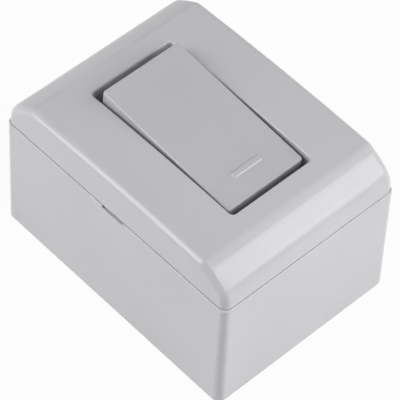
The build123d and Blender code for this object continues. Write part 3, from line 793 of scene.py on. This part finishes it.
@dataclass(frozen=True)
class SoftBox:
    """A rectangular studio light whose long edge lies along a given direction."""

    name: str
    centre: Point
    target: Point
    width: float
    height: float
    power: float
    along: Point = (1.0, 0.0, 0.0)
    reach: Reach = Reach.BOTH

    def build(self) -> bpy.types.Object:
        """Makes the light.

        Returns:
            The light object.
        """
        data = bpy.data.lights.new(self.name, "AREA")
        data.shape, data.size, data.size_y = "RECTANGLE", self.width, self.height
        data.energy = self.power
        lamp = bpy.data.objects.new(self.name, data)
        bpy.context.scene.collection.objects.link(lamp)
        lamp.visible_diffuse, lamp.visible_glossy = self.reach.value
        back = (Vector(self.centre) - Vector(self.target)).normalized()
        side = Vector(self.along)
        back = (back - side * back.dot(side) / side.length_squared).normalized()
        up = back.cross(side.normalized())
        turn = Matrix((side.normalized(), up, back)).transposed()
        lamp.matrix_world = Matrix.Translation(self.centre) @ turn.to_4x4()
        return lamp


@dataclass
class Studio:
    """The pale floor, the white room, the soft boxes and the camera."""

    boxes: tuple[SoftBox, ...]
    floor_size: float = 3.0
    floor_drop: float = 0.00005
    floor_colour: float = 0.65
    floor_white: float = 0.95
    room_level: float = 0.05
    azimuth: float = -45.351
    elevation: float = 51.504
    roll: float = 3.195
    distance: float = 0.643134
    aim: tuple[float, float] = (0.001424, 0.011000)
    lens: float = 238.606
    sensor: float = 36.0

    def build(self) -> None:
        """Makes everything round the object."""
        self.floor()
        self.room()
        for box in self.boxes:
            box.build()
            LOG.info("light %s", box.name)
        self.camera()

    def looks(self, graph: NodeGraph) -> bpy.types.NodeSocket:
        """Tells rays that look at the backdrop, also in a mirror, from rays that gather light.

        Args:
            graph: The nodes of the floor or the room.

        Returns:
            1 for a ray that looks and 0 for one that gathers light.
        """
        path = graph.add("ShaderNodeLightPath").outputs
        mirrored = graph.math("MAXIMUM", path["Is Glossy Ray"], path["Is Transmission Ray"])
        return graph.math("MAXIMUM", path["Is Camera Ray"], mirrored)

    def floor(self) -> bpy.types.Object:
        """Makes the floor, nearly white to look at so that a faint shadow stays.

        Returns:
            The floor object.
        """
        half = self.floor_size / 2
        mesh = bpy.data.meshes.new("floor")
        corners = [(-half, -half, 0), (half, -half, 0), (half, half, 0), (-half, half, 0)]
        mesh.from_pydata([(x, y, -self.floor_drop) for x, y, _ in corners], [], [(0, 1, 2, 3)])
        floor = bpy.data.objects.new("floor", mesh)
        bpy.context.scene.collection.objects.link(floor)
        made, graph = blank_material("pale_floor")
        level = self.floor_colour
        matt = graph.add("ShaderNodeBsdfDiffuse", color=(level, level, level, 1.0)).outputs[0]
        white = graph.add("ShaderNodeEmission", strength=1.0).outputs[0]
        share = graph.math("MULTIPLY", self.looks(graph), self.floor_white)
        seen = graph.add("ShaderNodeMixShader", i0=share, i1=matt, i2=white).outputs[0]
        graph.add("ShaderNodeOutputMaterial", surface=seen)
        mesh.materials.append(made)
        return floor

    def room(self) -> None:
        """Makes the room white to look at and dimmer in the light it gives."""
        world = bpy.data.worlds.new("room")
        bpy.context.scene.world = world
        world.use_nodes = True
        world.node_tree.nodes.clear()
        graph = NodeGraph(world.node_tree)
        level = graph.add("ShaderNodeMapRange", value=self.looks(graph), to_min=self.room_level,
                          to_max=1.0)
        light = graph.add("ShaderNodeBackground", strength=level.outputs[0])
        graph.add("ShaderNodeOutputWorld", surface=light.outputs[0])

    def camera(self) -> bpy.types.Object:
        """Makes the camera at the photograph's viewing angle.

        Returns:
            The camera object.
        """
        turn, rise, lean = (math.radians(v) for v in (self.azimuth, self.elevation, self.roll))
        back = Vector((math.sin(turn) * math.cos(rise), -math.cos(turn) * math.cos(rise),
                       math.sin(rise)))
        level = Vector((0, 0, 1)).cross(back).normalized()
        above = back.cross(level)
        right = level * math.cos(lean) + above * math.sin(lean)
        up = above * math.cos(lean) - level * math.sin(lean)
        axes = Matrix((right, up, back)).transposed()
        data = bpy.data.cameras.new("camera")
        data.lens, data.sensor_width = self.lens, self.sensor
        camera = bpy.data.objects.new("camera", data)
        bpy.context.scene.collection.objects.link(camera)
        place = axes @ Vector((*self.aim, self.distance))
        camera.matrix_world = Matrix.Translation(place) @ axes.to_4x4()
        bpy.context.scene.camera = camera
        return camera


BOXES: tuple[SoftBox, ...] = (
    SoftBox("right_box", (0.330, -0.561, 0.413), (0.330, -0.034, 0.127), 0.36, 0.497, 2.33,
            reach=Reach.SHADE),
    SoftBox("right_outer", (0.810, -0.561, 0.413), (0.810, -0.034, 0.127), 0.52, 0.497, 5.00,
            reach=Reach.SHADE),
    SoftBox("right_low", (0.760, -0.711, 0.137), (0.760, -0.008, -0.245), 0.42, 0.25, 3.12,
            reach=Reach.SHADE),
    SoftBox("bevel_panel", (0.455, -0.509, 0.445), (0.455, 0.018, 0.159), 0.37, 0.34, 1.30,
            reach=Reach.GLOSS),
    SoftBox("edge_panel", (0.332, -0.650, 0.262), (0.0, -0.013, 0.0445), 0.13, 0.16, 0.13,
            reach=Reach.GLOSS),
    SoftBox("back_left_box", (-0.563, 0.507, 0.386), (0.0, 0.0, 0.0), 0.70, 0.79, 7.18,
            along=(-0.669, -0.743, 0.0), reach=Reach.SHADE),
    SoftBox("back_left_panel", (-0.677, 0.346, 0.379), (0.0, 0.0, 0.0), 0.26, 0.75, 2.20,
            along=(-0.455, -0.891, 0.0), reach=Reach.GLOSS),
    SoftBox("left_box", (-0.700, 0.060, 0.420), (0.0, 0.0, 0.0), 0.45, 0.45, 0.76,
            along=(0.0, 1.0, 0.0), reach=Reach.SHADE),
    SoftBox("front_box", (-0.020, -0.640, 0.480), (0.0, 0.0, 0.0), 0.30, 0.45, 1.58),
    SoftBox("front_top", (0.0, -0.3925, 0.754), (0.0, 0.0, 0.0), 0.325, 0.377, 0.71),
)


def main() -> None:
    """Builds the light switch and its studio."""
    logging.basicConfig(level=logging.INFO, format="%(name)s: %(message)s")
    bpy.context.scene.view_settings.view_transform = "Standard"
    wardrobe = Wardrobe(FINISHES)
    for assembly in (Case, Rocker, Yoke, Contacts):
        assembly(wardrobe).build()
    Studio(BOXES).build()


if __name__ == "__main__":
    main()
